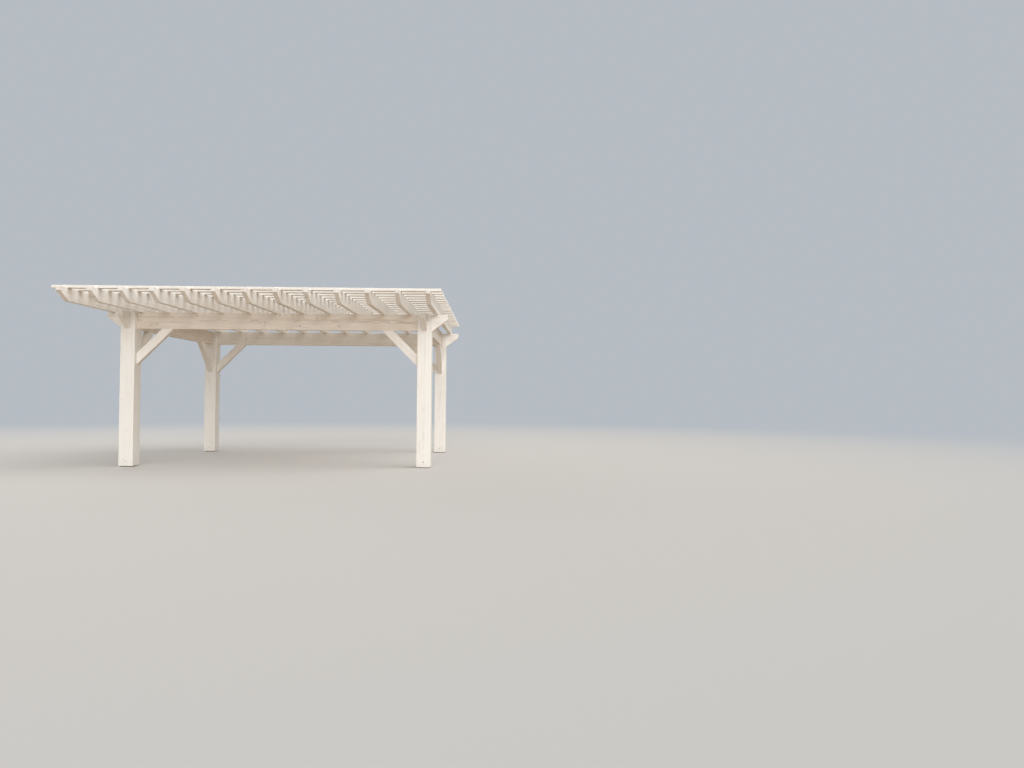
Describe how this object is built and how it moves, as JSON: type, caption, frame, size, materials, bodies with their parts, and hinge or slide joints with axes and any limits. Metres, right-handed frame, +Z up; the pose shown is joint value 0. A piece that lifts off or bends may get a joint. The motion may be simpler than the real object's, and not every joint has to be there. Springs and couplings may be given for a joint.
{
  "type": "pergola",
  "caption": "Free-standing timber pergola: square posts with knee braces carry tenoned beams with tapered tails, notched rafters and a roof of flat slats, whitewashed.",
  "frame": {"origin": "on the ground under the middle of the whole pergola, roof overhangs and beam tails included", "axes": "+X to the right along the long side as seen from the front, +Y from the front to the back, +Z up"},
  "size_m": [5.9264, 5.6456, 2.886],
  "materials": {
    "post_timber": "whitewashed, matt, eased edges",
    "beam_timber": "whitewashed, matt, grain and knots showing",
    "tail_timber": "whitewashed, matt",
    "brace_timber": "whitewashed, matt",
    "rafter_timber": "whitewashed, matt",
    "slat_timber": "whitewashed, matt",
    "post_foot_steel": "dark powder coat, satin"
  },
  "bodies": {
    "root": {"back_beam": "beam_timber", "back_beam_left_brace": "brace_timber", "back_beam_left_tail": "tail_timber", "back_beam_right_brace": "brace_timber", "back_beam_right_tail": "tail_timber", "back_left_post": "post_timber", "back_left_post_foot": "post_foot_steel", "back_right_post": "post_timber", "back_right_post_foot": "post_foot_steel", "front_beam": "beam_timber", "front_beam_left_brace": "brace_timber", "front_beam_left_tail": "tail_timber", "front_beam_right_brace": "brace_timber", "front_beam_right_tail": "tail_timber", "front_left_post": "post_timber", "front_left_post_foot": "post_foot_steel", "front_right_post": "post_timber", "front_right_post_foot": "post_foot_steel", "left_beam": "beam_timber", "left_beam_back_brace": "brace_timber", "left_beam_back_tail": "tail_timber", "left_beam_front_brace": "brace_timber", "left_beam_front_tail": "tail_timber", "rafter_01": "rafter_timber", "rafter_02": "rafter_timber", "rafter_03": "rafter_timber", "rafter_04": "rafter_timber", "rafter_05": "rafter_timber", "rafter_06": "rafter_timber", "rafter_07": "rafter_timber", "rafter_08": "rafter_timber", "rafter_09": "rafter_timber", "rafter_10": "rafter_timber", "rafter_11": "rafter_timber", "rafter_12": "rafter_timber", "rafter_13": "rafter_timber", "right_beam": "beam_timber", "right_beam_back_brace": "brace_timber", "right_beam_back_tail": "tail_timber", "right_beam_front_brace": "brace_timber", "right_beam_front_tail": "tail_timber", "slats_01_to_05": "slat_timber", "slats_06_to_10": "slat_timber", "slats_11_to_15": "slat_timber", "slats_16_to_20": "slat_timber"}
  },
  "joints": []
}
